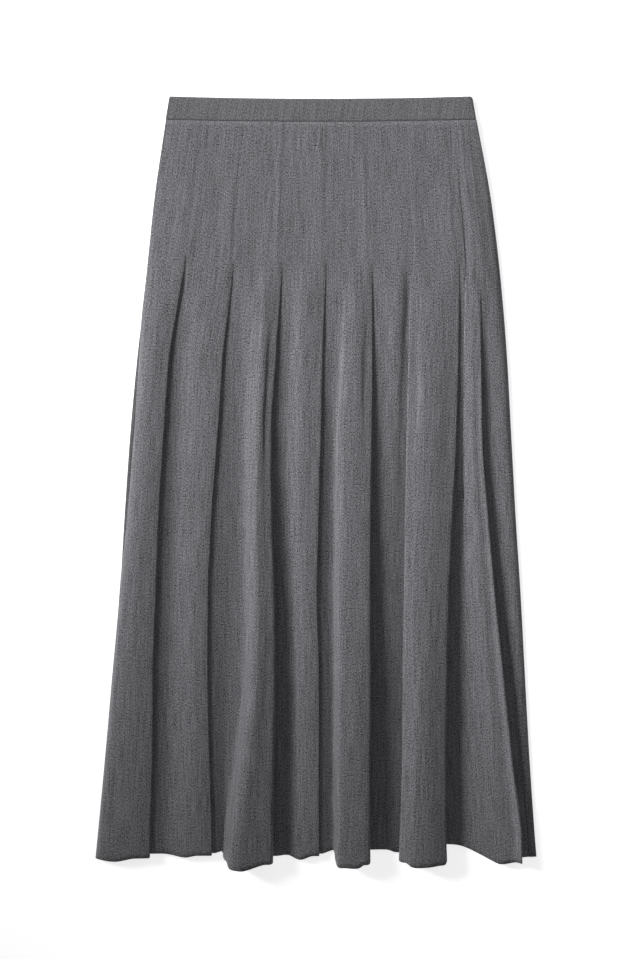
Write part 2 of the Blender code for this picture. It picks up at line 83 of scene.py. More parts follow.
# Each pleat: which side lies on top, where it opens and over what length, how deep its stitched line is,
# the height of the cloth below it, how far the edge stands above that, how deep it folds back,
# how round the edge is, how much higher the cloth is just before it, over what distance it turns down,
# and how much lower its hem hangs above and below the edge
HEIGHT_AT = (28, 206, 230, 310, 430, 580, 742, 911)
PLEATS = {
    "p1": dict(
        over=1, opens=186, opening=45, groove=0.12,
        low=(4.5, 7.6, 6.8, 6, 6.6, 7, 7, 7),
        lift=(0, 0.8, 1.6, 3.6, 4.4, 4.6, 4.6, 4.4),
        depth=(1, 1, 1, 5, 8, 10, 13, 15),
        roll=(0.9, 0.9, 0.9, 1.1, 1.8, 2.4, 2.6, 2.4),
        rise=(0.3, 0.3, 0.3, 0.4, 0.8, 1, 1.2, 1.2),
        soft=(0, 0, 0, 5, 8, 10, 10, 10),
        drop_over=-2.4, drop_under=-6.6,
    ),
    "p2": dict(
        over=1, opens=193, opening=80, groove=0.12,
        low=(4.5, 7.6, 6.8, 6.2, 6.2, 6.2, 6.2, 6),
        lift=(0, 0.7, 1.3, 2.7, 3.6, 3.6, 3.6, 3.6),
        depth=(1, 1, 1, 5, 8, 11, 13, 15),
        roll=(0.9, 0.9, 0.9, 1.0, 1.5, 2.2, 2.8, 2.6),
        rise=(0.3, 0.3, 0.3, 0.2, 0.2, 0.3, 0.4, 0.4),
        soft=(0, 0, 0, 3, 6, 9, 10, 10),
        drop_over=-4.9, drop_under=-7.0,
    ),
    "p3": dict(
        over=1, opens=196, opening=80, groove=0.12,
        low=(4.5, 7.6, 6.8, 6.2, 6.2, 6, 5.8, 5.6),
        lift=(0, 0.7, 1.4, 3.8, 6.6, 9.8, 13.8, 16),
        depth=(1, 1, 1, 5, 6, 7, 8, 8),
        roll=(0.9, 0.9, 0.9, 1.3, 2.4, 3.2, 4, 4.4),
        rise=(0.3, 0.3, 0.3, 0.4, 0.5, 0.6, 0.8, 0.9),
        soft=(0, 0, 0, 3, 2, 2, 3, 4),
        drop_over=2.2, drop_under=-3.5,
    ),
    "p4": dict(
        over=1, opens=193, opening=90, groove=0.12,
        low=(4.5, 7.6, 6.8, 6.2, 6.2, 5.8, 5.4, 5.2),
        lift=(0, 0.6, 1.2, 2.6, 3.6, 3.8, 3.4, 3.4),
        depth=(1, 1, 1, 5, 6, 5, 4, 3),
        roll=(0.9, 0.9, 0.9, 1.1, 1.6, 1.8, 1.6, 1.0),
        rise=(0.3, 0.3, 0.3, 0.2, 0.2, 0.2, 0.3, 0.3),
        soft=(0, 0, 0, 3, 4, 4, 4, 5),
        drop_over=-4.2, drop_under=-6.2,
    ),
    "p5": dict(
        over=1, opens=194, opening=90, groove=0.12,
        low=(4.5, 7.6, 6.8, 6.4, 6.8, 6.8, 6.4, 6),
        lift=(0, 0.6, 1.2, 3.2, 6.4, 10.2, 14.6, 17.2),
        depth=(1, 1, 1, 5, 6, 7, 8, 8),
        roll=(0.9, 0.9, 0.9, 1.2, 1.8, 2.4, 3.0, 3.4),
        rise=(0.3, 0.3, 0.3, 0.4, 0.5, 0.6, 0.7, 0.8),
        soft=(0, 0, 0, 3, 2.4, 2, 1.6, 1.6),
        drop_over=2.0, drop_under=-11.2,
    ),
    "p6": dict(
        over=-1, opens=206, opening=70, groove=0.12,
        low=(4.5, 7.6, 6.8, 5.4, 4, 2.8, 2.3, 2.2),
        lift=(0, 0.4, 1.2, 3.4, 7.0, 11, 15, 17.2),
        depth=(1, 1, 1, 6, 10, 12, 11, 9),
        roll=(0.9, 0.9, 0.9, 1.2, 2.0, 3.0, 4.2, 4.6),
        rise=(0.3, 0.3, 0.3, 0.4, 0.8, 1.4, 2.0, 2.2),
        soft=(0, 0, 0, 2, 2, 2, 2, 1),
        drop_over=0.2, drop_under=-7.0,
    ),
    "p7": dict(
        over=1, opens=188, opening=90, groove=0.12,
        low=(4.5, 7.6, 6.8, 6.4, 6.6, 6.4, 6, 5.8),
        lift=(0, 0.7, 1.2, 2.4, 4.2, 7.7, 11.6, 13.9),
        depth=(1, 1, 1, 5, 6, 7, 8, 8),
        roll=(0.9, 0.9, 0.9, 1.1, 1.8, 2.8, 3.6, 4.0),
        rise=(0.3, 0.3, 0.3, 0.4, 0.7, 1.0, 1.2, 1.4),
        soft=(0, 0, 0, 3, 4, 4, 3, 2),
        drop_over=3.4, drop_under=-17.6,
    ),
    "p8": dict(
        over=1, opens=215, opening=70, groove=0.0,
        low=(4.8, 8, 8, 6.8, 6.2, 5.6, 5.2, 4.8),
        lift=(0, 0, 0.4, 3.4, 5, 7.2, 10, 12.6),
        depth=(1, 1, 1, 1, 2, 6, 10, 12),
        roll=(0.9, 0.9, 0.9, 0.9, 1.0, 1.0, 1.2, 1.4),
        rise=(0.2, 0.2, 0.2, -0.6, -1.4, -2.8, -4.2, -5.6),
        soft=(0, 0, 0, 0.4, 1.0, 1.8, 2.4, 2.6),
        drop_over=2.3, drop_under=-1.7,
    ),
}
PLEAT_POINTS = 8
STITCHED_HALF = 3.0
TURN_RADIUS = 0.8
FOOT_BEYOND = 4.0
RELEASE = 9.0
LEAST_GAP = 1.0
EDGE_ANGLES = (45, 0, -45)

# A pleat's edge where it has just left its stitching: across it, the share of its lift, and what is added
STEP_OUTLINE = (
    (-1.5, 1, 0),
    (-0.55, 1, -0.2),
    (0, 0.78, 0),
    (0.05, 0.6, 0),
    (0.1, 0.4, 0),
    (0.15, 0.22, 0),
    (0.7, 0, 0.2),
    (1.65, 0, 0),
)

# How far before its edge the cloth starts to turn down. In a low fold that is past the layer folded back
# under it, and in a fold taller than TALL_LIFT it isn't
SHOULDER_REACH = 2.4
TALL_LIFT = 8.0
TALL_FADES = 3.0
LEAST_LIFT = 2.0
LIFT_GROWS = 1.2
FOLD_GROWS = 40.0

# Soft ridges and troughs between the pleats: a line, the distance from it at the waist, half way and at the
# hem, the heights at HEIGHT_AT, and how much lower the hem hangs there
OFFSET_AT = (28, 500, 911)
SURFACE = {
    "a_seam": ("left", (0, 0, 0), (4.2, 4.2, 4.0, 2.1, 2.1, 2.1, 2.1, 2.1), 0),
    "a_rim": ("left", (5, 4, 4), (4.4, 6.2, 6.4, 6.8, 7.6, 8.4, 8.4, 8), -0.2),
    "a_crest": ("left", (18, 17, 25), (4.7, 8, 8.6, 10.4, 11.6, 12.4, 12.4, 11.6), 1.8),
    "b_low": ("p1", (12, 18, 20), (4.6, 7.8, 7.4, 5.4, 4.8, 4.4, 4.2, 4.2), -5.5),
    "b_mid": ("p1", (24, 38, 42), (4.7, 8, 8.6, 8.8, 8.8, 8.6, 8.4, 8.2), -2.3),
    "c_low": ("p2", (8, 24, 13), (4.6, 7.8, 7.4, 5.4, 4.2, 3, 2.4, 2.4), -6.2),
    "d_foot": ("d_side", (-8, -6, -5), (4.7, 7.7, 7.8, 6.6, 5, 3.2, 2.5, 2.5), -3.0),
    "d_side": ("d_side", (0, 0, 0), (4.7, 7.9, 8.2, 9.0, 10, 11, 13, 13.5), 1.2),
    "d_shoulder": ("d_side", (5, 5, 4), (4.8, 8.1, 8.8, 10.8, 13.2, 16, 21, 22.5), 7.0),
    "d_crest": ("d_side", (10.5, 9.5, 13), (4.8, 8.4, 9.9, 12.6, 15.2, 18.2, 23.6, 26), 8.4),
    "d_back": ("d_side", (15, 15, 21), (4.8, 8.3, 9.5, 12.2, 14.8, 17.6, 22.9, 25.8), 8.6),
    "e_low": ("p3", (10, 19, 18), (4.6, 7.8, 7.3, 5.6, 4.9, 4.2, 3.8, 3.6), -4.2),
    "e_crest": ("p3", (24, 34, 32), (4.8, 8.7, 9.8, 9.8, 9.6, 9, 8.2, 7.6), 0.6),
    "f_low": ("p4", (9, 13, 13), (4.6, 7.8, 7.3, 5.6, 4.2, 3, 2.5, 2.4), -8.6),
    "f_foot": ("f_side", (-5, -2.6, -2), (4.6, 7.6, 7.6, 7, 5, 3.2, 2.5, 2.4), -9.4),
    "f_side": ("f_side", (0, 0, 0), (4.7, 7.8, 8.0, 9.8, 10.4, 10.8, 13, 13.6), -1.4),
    "f_shoulder": ("f_side", (4, 5, 3), (4.8, 8.0, 8.6, 11.2, 13, 15.6, 20.5, 21.5), 5.2),
    "f_crest": ("f_side", (8, 13, 12), (4.8, 8.3, 9.2, 12, 14.4, 17.2, 22.4, 23.6), 5.6),
    "f_back": ("p5", (-13, -14, -14), (4.8, 8.2, 9, 11.8, 14.4, 17.6, 22.6, 24), 5.8),
    "g_low": ("p5", (9, 15, 15), (4.6, 7.8, 7.3, 6.2, 5.6, 5.2, 5, 4.8), -11),
    "g_ridge": ("p6", (-11, -12, -12), (4.8, 8.7, 9.4, 7.8, 5.6, 3.9, 3.4, 3.2), -10),
    "h_left": ("p6", (12, 16, 15), (4.7, 8.3, 9.3, 11.4, 13.8, 17.0, 22, 24), 4.6),
    "h_crest": ("p7", (-22, -24, -22), (4.8, 8.4, 9.6, 11.6, 13.8, 17.0, 22, 24), 4.8),
    "i_low": ("p7", (5, 13, 16), (4.6, 7.7, 7.3, 5.4, 4.2, 3.2, 2.8, 2.8), -15.5),
    "j_foot": ("j_side", (-1.5, -6, -14), (4.6, 7.5, 7.6, 6.4, 5, 3.6, 3.4, 3.4), -13),
    "j_side": ("j_side", (0, 0.5, 1), (4.7, 7.7, 7.9, 8.2, 7.6, 6.2, 5.4, 5.4), -6.2),
    "j_shoulder": ("j_side", (1.7, 6, 16), (4.7, 8, 8.3, 9.2, 9.2, 8.6, 7.6, 7.4), 1.4),
    "j_crest": ("p8", (-7, -12, -25), (4.8, 8.3, 8.6, 9.5, 9.8, 9.8, 9.6, 9.6), 5.2),
    "k_low": ("p8", (5, 9, 10), (4.7, 7.6, 7.6, 6, 4.6, 3.6, 3, 2.8), -1.7),
    "k_mid": ("right", (-10, -12, -8), (4.6, 6.6, 6.8, 6.4, 5.4, 4.6, 4, 3.4), -1.7),
    "k_rim": ("right", (-4, -4, -3), (4.4, 5.2, 5.2, 5.2, 4.8, 4.2, 3.6, 2.9), -1.7),
    "k_seam": ("right", (0, 0, 0), (4.2, 2.4, 2.3, 2.1, 2.1, 2.1, 2.1, 2.1), -1.7),
}
SECTION = (
    "a_seam", "a_rim", "a_crest", "p1",
    "b_low", "b_mid", "p2",
    "c_low", "d_foot", "d_side", "d_shoulder", "d_crest", "d_back", "p3",
    "e_low", "e_crest", "p4",
    "f_low", "f_foot", "f_side", "f_shoulder", "f_crest", "f_back", "p5",
    "g_low", "g_ridge", "p6",
    "h_left", "h_crest", "p7",
    "i_low", "j_foot", "j_side", "j_shoulder", "j_crest", "p8",
    "k_low", "k_mid", "k_rim", "k_seam",
)

BACK_DROP = {0: -1, 0.1: -7, 0.25: -13, 0.55: -18, 0.77: -21, 0.9: -13, 1: -2.5}

# Waistband
BAND_WALL = 2.0
BAND_BACK_HEIGHT = 1.0
BAND_FRONT_HEIGHT = 4.6
BAND_TOP_LEFT = -180.0
BAND_TOP_RIGHT = 182.5
BAND_LOW_LEFT = -184.6
BAND_LOW_RIGHT = 187.3
BAND_CORNER = 3.0

# The band's rows: distance down, and how far the rounded edge draws in
BAND_ROWS = {
    0.0: 1.0, 0.35: 0.45, 1.0: 0.12, 2.2: 0, 6: 0, 10: 0, 14: 0, 18: 0, 22: 0, 25: 0,
    26.6: 0.1, 27.4: 0.4, 27.9: 1.0,
}
BAND_FRONT_COLUMNS = 110
BAND_BACK_COLUMNS = 50
BAND_TURN_STEP = 15
BAND_RIPPLE = 0.35
BAND_RIPPLE_LONG = 30
BAND_RIPPLE_HIGH = 25
BAND_RIPPLE_SEED = 11.0
BAND_EDGE_SHARE = 0.3

# Cloth of the visible pieces
CLOTH = 0.8
FRONT_ROWS = 150
ROWS_NEAR_OPENING = 15
NEAR_OPENING = (190, 250)
LOWEST_FRONT = 1.95
BACK_ROWS = 90
BACK_COLUMNS = 120
BACK_MIDDLE_HEIGHT = 0.6
BACK_UV_WIDE = 0.47
UV_MEASURED_AT = 550

# How finely each span of the front's section is cut
SURFACE_CUTS = 4
SHOULDER_CUTS = 2
PLEAT_CUTS = (3, 3, 3, 3, 2, 2, 2, 2, 3)
PLEAT_CUTS_REVERSED = (2, 2, 2, 2, 3, 3, 3, 3, 2, 4)
TURN_CUT = 6
TURN_CUT_REVERSED = 2

# Gentle unevenness of the cloth: its length across and down the skirt, and its height
BROAD_RIPPLE = (40, 260, 0.3)
SMALL_RIPPLE = (14, 140, 0.07)
RIPPLE_SEED = 3.0
RIPPLE_APART = 7.0

# The weave: features a metre across and along the yarns, detail, and weight in the colour
WEAVE = {
    "speckle": (1100, 520, 1.5, 4.1),
    "slub": (900, 30, 2.0, 1.5),
    "streak": (260, 9, 2.0, 0.55),
}
WEAVE_BUMP = 0.3
WEAVE_HEIGHT = 0.0003
CLOTH_COLOUR = (0.158, 0.155, 0.167)
# The back is the same suiting as the front; its colour is darker as painted shade, for the strip of the
# back that shows in shadow beside the front's left edge
BACK_SHADED_COLOUR = (0.110, 0.108, 0.115)
BAND_COLOUR = (0.150, 0.148, 0.155)
BAND_CONTRAST = 0.85
CLOTH_ROUGHNESS = 0.85
CLOTH_SPECULAR = 0.25
CLOTH_SHEEN = 0.12
CLOTH_SHEEN_ROUGHNESS = 0.5

# The zip's tape
TAPE_COLOUR = (0.052, 0.051, 0.055)
TAPE_RIBS = 1400
TAPE_RIB_WEIGHT = 0.5
TAPE_TWILL = 0.8
TAPE_WANDER = 0.6
TAPE_FLECK = 900
TAPE_FLECK_DETAIL = 2.0
TAPE_FLECK_WEIGHT = 0.9
TAPE_BUMP = 0.5
TAPE_HEIGHT = 0.00012
TAPE_ROUGHNESS = 0.6

# The studio, in metres, watts and degrees
FLOOR_HALF = 6.0
FLOOR_HEIGHT = -0.0004
FLOOR_COLOUR = (0.9, 0.9, 0.9)
FLOOR_GLOW = 0.7
FLOOR_ROUGHNESS = 0.9
WHITE = (1, 1, 1, 1)
WORLD_STRENGTH = 0.15
LIGHTS = {
    "key": dict(place=(-2.5, 1.5, 1.45), target=(0.1, 0.28, 0), size=1.3, power=9.0, spread=30),
    "top_fill": dict(place=(0.5, 1.1, 1.5), target=(0, 0.3, 0), size=1.2, power=0.8, spread=90),
}


def smooth(xs, ys, x):
    """A smooth curve through a short table that never swings past its values."""
    if x <= xs[0]:
        return ys[0]
    if x >= xs[-1]:
        return ys[-1]
    slopes = [(ys[i + 1] - ys[i]) / (xs[i + 1] - xs[i]) for i in range(len(xs) - 1)]
    tangents = [slopes[0]]
    for before, after in zip(slopes, slopes[1:]):
        flat = before * after <= 0
        tangents.append(0 if flat else 2 * before * after / (before + after))
    tangents.append(slopes[-1])
    i = max(k for k in range(len(xs) - 1) if xs[k] <= x)
    step = xs[i + 1] - xs[i]
    t = (x - xs[i]) / step
    return (
        (2 * t**3 - 3 * t**2 + 1) * ys[i]
        + (t**3 - 2 * t**2 + t) * step * tangents[i]
        + (3 * t**2 - 2 * t**3) * ys[i + 1]
        + (t**3 - t**2) * step * tangents[i + 1]
    )


def from_table(table, x):
    """A smooth curve through a table of places and values."""
    return smooth(tuple(table), tuple(table.values()), x)


def line(name, down):
    """Where a named line runs across the skirt, at a distance down it."""
    column = LINE_NAMES.index(name)
    return smooth(tuple(LINE_ROWS), [row[column] for row in LINE_ROWS.values()], down)


def sag(x, down):
    """The waist's dip in the middle, which fades down the skirt."""
    fade = np.maximum(0.0, 1 - down / SAG_FADES)
    return -WAIST_SAG * fade * (SAG_MIDDLE - (x / WAIST_HALF) ** 2)


def plan_y(x, down, drop):
    """The y of a point of the cloth, with its hem lower by its drop."""
    share = np.maximum(0.0, down / HEM) ** HEM_CURVE
    return TOP_TO_CENTRE - down - drop * share + sag(x, down)


def ease(t):
    """A soft step from 0 to 1."""
    t = min(1.0, max(0.0, t))
    return t * t * (3 - 2 * t)


def mix(a, b, share):
    """Two lists of points mixed, by the share of the second."""
    return [tuple(p + (q - p) * share for p, q in zip(u, v)) for u, v in zip(a, b)]


def stitched_points(edge, height, groove, over, under):
    """The shallow line where a pleat is sewn down."""
    points = []
    for i in range(PLEAT_POINTS):
        along = 2 * i / (PLEAT_POINTS - 1) - 1
        drop = over + (under - over) * i / (PLEAT_POINTS - 1)
        points.append((edge + along * STITCHED_HALF, height - groove * (1 - abs(along)), drop))
    return points


def step_points(edge, low, lift, over, under):
    """A steep step down from a pleat's edge."""
    return [
        (edge + across, low + lift * share + added, over + (under - over) * i / (PLEAT_POINTS - 1))
        for i, (across, share, added) in enumerate(STEP_OUTLINE)
    ]


def folded_points(edge, low, lift, depth, roll, over, under):
    """A rounded edge, the layer that folds back under it and the turn below."""
    radius = min((lift - 2 * TURN_RADIUS) / 2, roll)
    middle = low + lift - radius
    centre = edge - radius
    points = [(centre, low + lift, over)]
    for angle in EDGE_ANGLES:
        turn = math.radians(angle)
        share = (0.5 - math.sin(turn) / 2) * radius / (lift / 2)
        x = centre + radius * math.cos(turn)
        z = middle + radius * math.sin(turn)
        points.append((x, z, over + (under - over) * share))
    points.append((centre, low + lift - 2 * radius, over + (under - over) * min(1.0, 2 * radius / lift)))
    points.append((centre - depth, low + 2 * TURN_RADIUS, under))
    points.append((centre - depth - TURN_RADIUS, low + TURN_RADIUS, under))
    points.append((centre - depth, low, under))
    return points


def pleat_points(name, down):
    """A pleat's section: sewn down, then a step, then an open fold, each turning smoothly into the next."""
    pleat = PLEATS[name]
    edge = line(name, down)
    low, lift, depth, roll = (
        smooth(HEIGHT_AT, pleat[key], down) for key in ("low", "lift", "depth", "roll")
    )
    over, under = pleat["drop_over"], pleat["drop_under"]
    since = down - pleat["opens"]
    released = ease(since / RELEASE)
    state = min(max(0.0, since / pleat["opening"]), 2.0)
    full = max(lift, (2 * TURN_RADIUS + LEAST_GAP) * min(1.0, state))
    flat = stitched_points(edge, low + lift, pleat["groove"], over, under)
    step = step_points(edge, low, full, over, under)
    fold = folded_points(edge, low, max(full, 2 * TURN_RADIUS + LEAST_GAP), depth, roll, over, under)
    points = mix(flat, step, released) if state < 1 else mix(step, fold, ease(state - 1))
    foot = low + lift * (1 - released)
    points.append((edge + FOOT_BEYOND, foot, under))
    if pleat["over"] < 0:
        points = [(2 * edge - x, z, drop) for x, z, drop in reversed(points)]
    return points


def shoulder(name, down):
    """The point of the section just before a pleat's edge."""
    pleat = PLEATS[name]
    side = pleat["over"]
    points = pleat_points(name, down)
    edge = points[0] if side > 0 else points[-1]
    lift, depth, rise, soft = (
        smooth(HEIGHT_AT, pleat[key], down) for key in ("lift", "depth", "rise", "soft")
    )
    close = min(1.0, max(0.0, (TALL_LIFT - lift) / TALL_FADES))
    close *= ease((lift - LEAST_LIFT) / LIFT_GROWS)
    close *= ease((down - pleat["opens"]) / FOLD_GROWS)
    reach = SHOULDER_REACH + max(close * depth, soft)
    return (edge[0] - side * reach, edge[1] + rise, edge[2])


def surface_point(name, down):
    """A ridge's or a trough's point of the section."""
    start, offsets, heights, drop = SURFACE[name]
    x = line(start, down) + smooth(OFFSET_AT, offsets, down)
    if name in LEFT_FOLD:
        x += from_table(LEFT_INSET, down)
    return (x, smooth(HEIGHT_AT, heights, down), drop)


def front_section(down):
    """The front's section and how finely each of its spans is cut."""
    points, cuts = [], []
    for name in SECTION:
        if name in SURFACE:
            points.append(surface_point(name, down))
            cuts.append(SURFACE_CUTS)
            continue
        pleat = pleat_points(name, down)
        if PLEATS[name]["over"] > 0:
            points += [shoulder(name, down)] + pleat
            cuts += [SHOULDER_CUTS, *PLEAT_CUTS]
        else:
            points += pleat + [shoulder(name, down)]
            cuts += PLEAT_CUTS_REVERSED
    return np.array(points), cuts[:-1]


def through(points, cuts):
    """A rounded curve through a section's points, with that many cuts in each span."""
    p = np.vstack([2 * points[0] - points[1], points, 2 * points[-1] - points[-2]])
    gap = np.maximum(1e-4, np.hypot(*(p[1:, :2] - p[:-1, :2]).T)) ** 0.5
    t = np.concatenate([[0], np.cumsum(gap)])
    out = []
    for i, count in enumerate(cuts):
        a, b, c, d = p[i: i + 4]
        ta, tb, tc, td = t[i: i + 4]
        for k in range(count):
            s = tb + (tc - tb) * k / count
            ab = a + (b - a) * (s - ta) / (tb - ta)
            bc = b + (c - b) * (s - tb) / (tc - tb)
            cd = c + (d - c) * (s - tc) / (td - tc)
            abc = ab + (bc - ab) * (s - ta) / (tc - ta)
            bcd = bc + (cd - bc) * (s - tb) / (td - tb)
            out.append(abc + (bcd - abc) * (s - tb) / (tc - tb))
    out.append(points[-1])
    return np.array(out)


def ripple(x, y):
    """Gentle unevenness of the cloth, longer down the skirt than across it."""
    total = 0.0
    for kind, (across, along, height) in enumerate((BROAD_RIPPLE, SMALL_RIPPLE)):
        seed = RIPPLE_SEED + kind * RIPPLE_APART
        total += height * noise.noise(Vector((x / across, y / along, seed)))
    return total


def sheet_object(name, grid, uv, thick, looks):
    """A cloth shell from a grid of points (rows, columns, xyz in millimetres) with its own UV in metres."""
    rows, columns = grid.shape[:2]
    places = grid.reshape(-1, 3) + (CENTRE_SHIFT_X, CENTRE_SHIFT_Y, 0)
    index = np.arange(rows * columns).reshape(rows, columns)
    quads = np.stack(
        [index[:-1, :-1], index[1:, :-1], index[1:, 1:], index[:-1, 1:]], axis=-1
    ).reshape(-1, 4)
    mesh = bpy.data.meshes.new(name)
    mesh.from_pydata((places * MM).tolist(), [], quads.tolist())
    layer = mesh.uv_layers.new(name="cloth")
    flat_uv = uv.reshape(-1, 2)[quads.reshape(-1)]
    layer.data.foreach_set("uv", flat_uv.astype(np.float32).ravel())
    for face in mesh.polygons:
        face.use_smooth = True
    for look in looks:
        mesh.materials.append(look)
    piece = bpy.data.objects.new(name, mesh)
    bpy.context.scene.collection.objects.link(piece)
    if thick:
        solid = piece.modifiers.new("cloth", "SOLIDIFY")
        solid.thickness = thick * MM
        solid.offset = 0
        solid.use_even_offset = False
    return piece


def rows_down():
    """The front's rows, closer where the pleats leave their stitching."""
    even = np.linspace(WAIST_SEAM, HEM, FRONT_ROWS - ROWS_NEAR_OPENING + 1)
    near = np.linspace(*NEAR_OPENING, ROWS_NEAR_OPENING)
    return np.unique(np.round(np.concatenate([even, near]), 2))


def turn_columns():
    """The grid columns of the innermost turn of each pleat, with the first and last column."""
    columns, here = [0], 0
    for name in SECTION:
        if name in SURFACE:
            here += SURFACE_CUTS
            continue
        if PLEATS[name]["over"] > 0:
            columns.append(here + SHOULDER_CUTS + sum(PLEAT_CUTS[:TURN_CUT]))
            here += SHOULDER_CUTS + sum(PLEAT_CUTS)
        else:
            columns.append(here + sum(PLEAT_CUTS_REVERSED[:TURN_CUT_REVERSED]))
            here += sum(PLEAT_CUTS_REVERSED)
    columns.append(here - SURFACE_CUTS)
    return columns


def panel_run(x, z, downs):
    """How far along the cloth each point is, measured within each panel from its own middle."""
    step = np.hypot(np.diff(x, axis=1), np.diff(z, axis=1))
    run = np.concatenate([np.zeros((len(downs), 1)), np.cumsum(step, axis=1)], axis=1)
    half = int(np.argmin(abs(downs - UV_MEASURED_AT)))
    columns = turn_columns()
    along = np.zeros_like(run)
    for start, end in zip(columns, columns[1:]):
        middle = (run[:, start] + run[:, end]) / 2
        part = slice(start, end + 1)
        along[:, part] = run[:, part] - middle[:, None] + middle[half]
    return along


def make_front(looks):
    """The front's cloth: a section for each row, each with the gentle unevenness added."""
    downs = rows_down()
    sections = []
    for down in downs:
        points, cuts = front_section(down)
        sections.append(through(points, cuts))
    table = np.array(sections)
    x, z, drop = table[..., 0], table[..., 1], table[..., 2]
    y = plan_y(x, downs[:, None], drop)
    for r in range(z.shape[0]):
        for c in range(z.shape[1]):
            z[r, c] += ripple(x[r, c], y[r, c])
    z[:] = np.maximum(z, LOWEST_FRONT)
    uv = np.stack(np.broadcast_arrays(panel_run(x, z, downs), downs[:, None]), axis=-1) * MM
    return sheet_object("front_cloth", np.stack([x, y, z], axis=-1), uv, CLOTH, looks)


def make_back(looks):
    """The back's cloth, flat on the table."""
    downs = np.linspace(WAIST_SEAM, HEM, BACK_ROWS)
    shares = np.linspace(0, 1, BACK_COLUMNS)
    grid = np.zeros((len(downs), len(shares), 3))
    for r, down in enumerate(downs):
        left, right = line("left", down), line("right", down)
        for c, share in enumerate(shares):
            x = left + (right - left) * share
            drop = from_table(BACK_DROP, share)
            grid[r, c] = (x, plan_y(x, down, drop), BACK_MIDDLE_HEIGHT)
    uv = np.stack(np.broadcast_arrays(shares[None, :] * BACK_UV_WIDE, downs[:, None] * MM), axis=-1)
    return sheet_object("back_cloth", grid, uv, CLOTH, looks)


def make_band(looks):
    """The waistband's outer face all round, with rounded top and bottom edges."""
    radius = (BAND_FRONT_HEIGHT - BAND_BACK_HEIGHT) / 2
    middle = BAND_BACK_HEIGHT + radius
    grid, uv = [], []
    for down, inset in BAND_ROWS.items():
        share = down / WAIST_SEAM
        corner = max(0.0, 1 - down / BAND_CORNER) ** 2
        left = BAND_TOP_LEFT + (BAND_LOW_LEFT - BAND_TOP_LEFT) * share + corner
        right = BAND_TOP_RIGHT + (BAND_LOW_RIGHT - BAND_TOP_RIGHT) * share - corner
        reach = radius + BAND_WALL / 2 - inset
        turn = right - radius - BAND_WALL / 2
        row = []
        for i in range(BAND_FRONT_COLUMNS + 1):
            row.append((left + (turn - left) * i / BAND_FRONT_COLUMNS, middle + reach))
        for angle in range(90 - BAND_TURN_STEP, -90, -BAND_TURN_STEP):
            a = math.radians(angle)
            row.append((turn + reach * math.cos(a), middle + reach * math.sin(a)))
        for i in range(BAND_BACK_COLUMNS, -1, -1):
            row.append((left + (turn - left) * i / BAND_BACK_COLUMNS, middle - reach))
        run = 0.0
        last = row[0]
        points, texture = [], []
        for x, z in row:
            run += math.hypot(x - last[0], z - last[1])
            last = (x, z)
            place = Vector((x / BAND_RIPPLE_LONG, down / BAND_RIPPLE_HIGH, BAND_RIPPLE_SEED))
            bump = BAND_RIPPLE * noise.noise(place)
            if z > middle:
                z += bump * (1 if inset < 1 else BAND_EDGE_SHARE)
            points.append((x, float(plan_y(x, down, 0)), z))
            texture.append((run * MM, down * MM))
        grid.append(points)
        uv.append(texture)
    return sheet_object("band_cloth", np.array(grid), np.array(uv), 0, looks)


def node(tree, kind, **values):
    """A new shader node with its settings."""
    made = tree.nodes.new(kind)
    for name, value in values.items():
        setattr(made, name, value)
    return made


def stretched_noise(tree, place, across, along, detail):
    """A noise on the cloth's own UV, this many features a metre across and along the yarns."""
    stretch = node(tree, "ShaderNodeMapping")
    stretch.inputs["Scale"].default_value = (across, along, 1)
    tree.links.new(place.outputs["UV"], stretch.inputs["Vector"])
    made = node(tree, "ShaderNodeTexNoise")
    made.inputs["Scale"].default_value = 1.0
    made.inputs["Detail"].default_value = detail
    tree.links.new(stretch.outputs["Vector"], made.inputs["Vector"])
    return made.outputs["Fac"]


def weighted_sum(tree, parts):
    """The sum of sockets, each less one half and times its weight, plus one."""
    total = None
    for socket, weight in parts:
        scaled = node(tree, "ShaderNodeMath", operation="MULTIPLY_ADD")
        tree.links.new(socket, scaled.inputs[0])
        scaled.inputs[1].default_value = weight
        scaled.inputs[2].default_value = -0.5 * weight
        if total is None:
            total = scaled.outputs[0]
            continue
        added = node(tree, "ShaderNodeMath", operation="ADD")
        tree.links.new(total, added.inputs[0])
        tree.links.new(scaled.outputs[0], added.inputs[1])
        total = added.outputs[0]
    lifted = node(tree, "ShaderNodeMath", operation="ADD")
    tree.links.new(total, lifted.inputs[0])
    lifted.inputs[1].default_value = 1.0
    return lifted.outputs[0]


def suiting(name, colour, contrast):
    """A matt suiting: fine speckle, slubs and long soft streaks, with the weave as bump."""
    look = bpy.data.materials.new(name)
    look.use_nodes = True
    tree = look.node_tree
    shader = tree.nodes["Principled BSDF"]
    place = node(tree, "ShaderNodeUVMap", uv_map="cloth")
    value = weighted_sum(tree, [
        (stretched_noise(tree, place, across, along, detail), weight * contrast)
        for across, along, detail, weight in WEAVE.values()
    ])
    tint = node(tree, "ShaderNodeVectorMath", operation="SCALE")
    tint.inputs["Vector"].default_value = colour
    tree.links.new(value, tint.inputs["Scale"])
    tree.links.new(tint.outputs["Vector"], shader.inputs["Base Color"])
    bump = node(tree, "ShaderNodeBump")
    bump.inputs["Strength"].default_value = WEAVE_BUMP
    bump.inputs["Distance"].default_value = WEAVE_HEIGHT
    tree.links.new(value, bump.inputs["Height"])
    tree.links.new(bump.outputs["Normal"], shader.inputs["Normal"])
    shader.inputs["Roughness"].default_value = CLOTH_ROUGHNESS
    shader.inputs["Specular IOR Level"].default_value = CLOTH_SPECULAR
    shader.inputs["Sheen Weight"].default_value = CLOTH_SHEEN
    shader.inputs["Sheen Roughness"].default_value = CLOTH_SHEEN_ROUGHNESS
    return look


